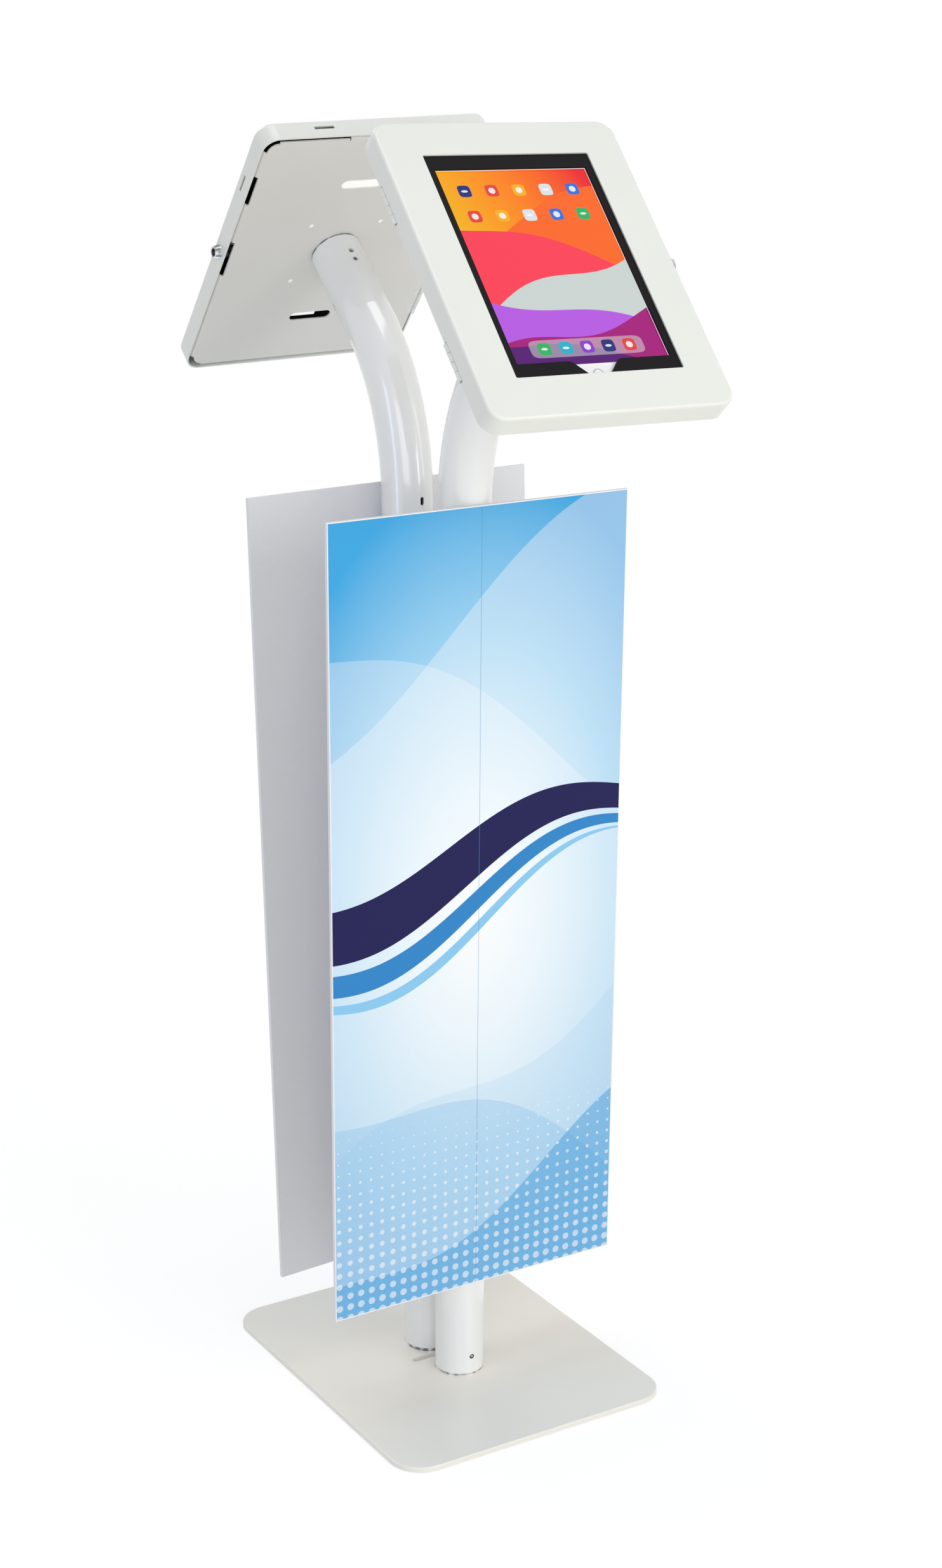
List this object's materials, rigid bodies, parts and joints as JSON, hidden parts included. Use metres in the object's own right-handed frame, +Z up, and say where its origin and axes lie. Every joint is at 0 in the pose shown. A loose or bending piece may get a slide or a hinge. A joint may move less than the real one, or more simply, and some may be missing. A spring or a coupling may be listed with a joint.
{
  "type": "tablet kiosk stand",
  "caption": "Back-to-back tablet kiosk stand: bent columns on a flat base, hinged locking tablet enclosures and poster panels behind.",
  "frame": {"origin": "on the floor under the middle of the base plate", "axes": "+Z up, -Y towards the user of the front tablet, +Y towards the user of the rear tablet, +X to the front user's right"},
  "size_m": [0.323, 0.6134, 1.2432],
  "materials": {
    "white_powder_coat": "semi-gloss white powder coat on steel",
    "rubber_pad": "matt black rubber",
    "bright_chrome": "bright chrome plate",
    "plated_steel": "zinc-plated steel",
    "dark_screw_steel": "blackened steel",
    "dark_lock_plug": "dark plated lock plug",
    "white_board": "matt white foamed board",
    "printed_sheet": "satin printed sheet in light blues",
    "white_moulding": "matt white moulded plastic",
    "black_mask": "matt black plastic sheet",
    "silver_case": "bead-blasted silver aluminium",
    "white_glass": "glossy white-backed glass",
    "lit_screen": "lit screen under clear glass"
  },
  "bodies": {
    "stand": {"base_plate": "white_powder_coat", "base_pads": "rubber_pad", "foot_spigots": "bright_chrome", "foot_screws": "dark_screw_steel", "foot_set_screws": "dark_screw_steel", "front_column": "white_powder_coat", "rear_column": "white_powder_coat", "front_panel": "white_board", "rear_panel": "white_board", "front_poster": "printed_sheet", "rear_poster": "printed_sheet", "panel_saddles": "white_moulding", "panel_screws": "dark_screw_steel", "front_back_tray": "white_powder_coat", "front_neck_spigot": "bright_chrome", "front_neck_screws": "dark_screw_steel", "front_neck_set_screws": "dark_screw_steel", "front_tray_hinge_leaves": "white_powder_coat", "front_hinge_pins": "plated_steel", "front_hinge_rivets": "white_powder_coat", "front_tablet_cradle": "white_moulding", "front_tablet_case": "silver_case", "front_tablet_bezel": "white_glass", "front_tablet_screen": "lit_screen", "rear_back_tray": "white_powder_coat", "rear_neck_spigot": "bright_chrome", "rear_neck_screws": "dark_screw_steel", "rear_neck_set_screws": "dark_screw_steel", "rear_tray_hinge_leaves": "white_powder_coat", "rear_hinge_pins": "plated_steel", "rear_hinge_rivets": "white_powder_coat", "rear_tablet_cradle": "white_moulding", "rear_tablet_case": "silver_case", "rear_tablet_bezel": "white_glass", "rear_tablet_screen": "lit_screen"},
    "front_cover": {"front_cover": "white_powder_coat", "front_cover_hinge_leaves": "white_powder_coat", "front_lock_barrel": "bright_chrome", "front_lock_nut": "bright_chrome", "front_screen_mask": "black_mask"},
    "front_lock": {"front_lock_plug": "dark_lock_plug", "front_lock_cam": "plated_steel"},
    "front_home_button": {"front_home_button": "white_glass"},
    "front_power_button": {"front_power_button": "silver_case"},
    "front_volume_up_button": {"front_volume_up_button": "silver_case"},
    "front_volume_down_button": {"front_volume_down_button": "silver_case"},
    "rear_cover": {"rear_cover": "white_powder_coat", "rear_cover_hinge_leaves": "white_powder_coat", "rear_lock_barrel": "bright_chrome", "rear_lock_nut": "bright_chrome", "rear_screen_mask": "black_mask"},
    "rear_lock": {"rear_lock_plug": "dark_lock_plug", "rear_lock_cam": "plated_steel"},
    "rear_home_button": {"rear_home_button": "white_glass"},
    "rear_power_button": {"rear_power_button": "silver_case"},
    "rear_volume_up_button": {"rear_volume_up_button": "silver_case"},
    "rear_volume_down_button": {"rear_volume_down_button": "silver_case"}
  },
  "joints": [
    {"name": "front_cover_hinge", "type": "hinge", "parent": "stand", "child": "front_cover", "pos_m": [-0.12041, -0.18441, 1.11794], "axis": [-0.0244, -0.68, -0.7328], "range_deg": [0, 115]},
    {"name": "front_lock_turn", "type": "hinge", "parent": "front_cover", "child": "front_lock", "pos_m": [0.12091, -0.1959, 1.12057], "axis": [0.9997, -0.0166, -0.0179], "range_deg": [0, 90]},
    {"name": "front_home_button_press", "type": "slide", "parent": "stand", "child": "front_home_button", "axis": [0, 0.733, -0.6802], "range_m": [0, 0.00035], "stiffness_N_per_m": 400, "springref_m": -0.0005},
    {"name": "front_power_button_press", "type": "slide", "parent": "stand", "child": "front_power_button", "axis": [-0.0244, -0.68, -0.7328], "range_m": [0, 0.0004], "stiffness_N_per_m": 400, "springref_m": -0.0005},
    {"name": "front_volume_up_button_press", "type": "slide", "parent": "stand", "child": "front_volume_up_button", "axis": [-0.9997, 0.0166, 0.0179], "range_m": [0, 0.0004], "stiffness_N_per_m": 400, "springref_m": -0.0005},
    {"name": "front_volume_down_button_press", "type": "slide", "parent": "stand", "child": "front_volume_down_button", "axis": [-0.9997, 0.0166, 0.0179], "range_m": [0, 0.0004], "stiffness_N_per_m": 400, "springref_m": -0.0005},
    {"name": "rear_cover_hinge", "type": "hinge", "parent": "stand", "child": "rear_cover", "pos_m": [0.12041, 0.18441, 1.11794], "axis": [0.0244, 0.68, -0.7328], "range_deg": [0, 115]},
    {"name": "rear_lock_turn", "type": "hinge", "parent": "rear_cover", "child": "rear_lock", "pos_m": [-0.12091, 0.1959, 1.12057], "axis": [-0.9997, 0.0166, -0.0179], "range_deg": [0, 90]},
    {"name": "rear_home_button_press", "type": "slide", "parent": "stand", "child": "rear_home_button", "axis": [0, -0.733, -0.6802], "range_m": [0, 0.00035], "stiffness_N_per_m": 400, "springref_m": -0.0005},
    {"name": "rear_power_button_press", "type": "slide", "parent": "stand", "child": "rear_power_button", "axis": [0.0244, 0.68, -0.7328], "range_m": [0, 0.0004], "stiffness_N_per_m": 400, "springref_m": -0.0005},
    {"name": "rear_volume_up_button_press", "type": "slide", "parent": "stand", "child": "rear_volume_up_button", "axis": [0.9997, -0.0166, 0.0179], "range_m": [0, 0.0004], "stiffness_N_per_m": 400, "springref_m": -0.0005},
    {"name": "rear_volume_down_button_press", "type": "slide", "parent": "stand", "child": "rear_volume_down_button", "axis": [0.9997, -0.0166, 0.0179], "range_m": [0, 0.0004], "stiffness_N_per_m": 400, "springref_m": -0.0005}
  ]
}
